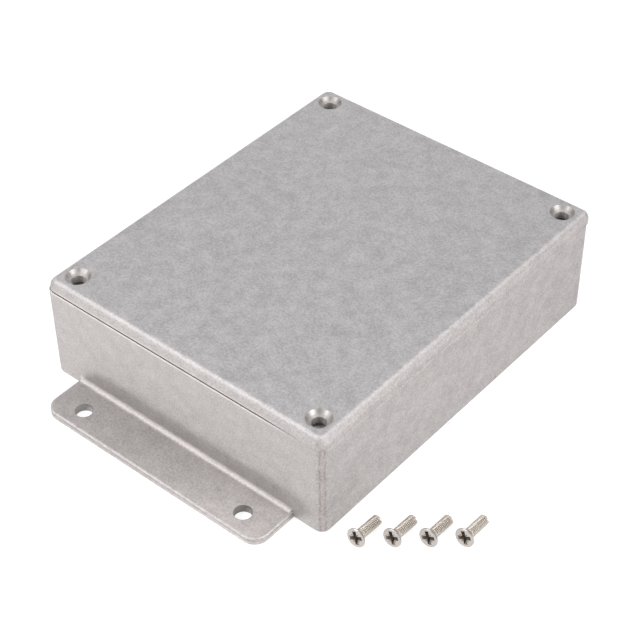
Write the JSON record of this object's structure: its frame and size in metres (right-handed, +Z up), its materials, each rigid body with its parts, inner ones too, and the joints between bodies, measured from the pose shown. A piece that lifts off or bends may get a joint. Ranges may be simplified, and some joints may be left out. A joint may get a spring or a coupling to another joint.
{
  "type": "flanged die-cast enclosure",
  "caption": "Rectangular die-cast aluminium enclosure with a drafted base, mounting flanges at both ends, a lift-off lid with countersunk corner holes and loose lid screws beside it.",
  "frame": {"origin": "centre of the base's underside, on the surface that the enclosure stands on", "axes": "X across the case, Y along the case from flange to flange, Z up through the lid"},
  "size_m": [0.1337, 0.15, 0.035],
  "materials": {
    "cast_base": "raw die-cast, tumbled matte",
    "cast_lid": "raw die-cast, tumbled matte",
    "nickel_screw": "nickel-plated, bright"
  },
  "bodies": {
    "case": {"base": "cast_base", "lid_screws": "nickel_screw"},
    "cover": {"lid": "cast_lid"}
  },
  "joints": [
    {"name": "lid_lift", "type": "slide", "parent": "case", "child": "cover", "axis": [0, 0, 1], "range_m": [0, 0.06]}
  ]
}
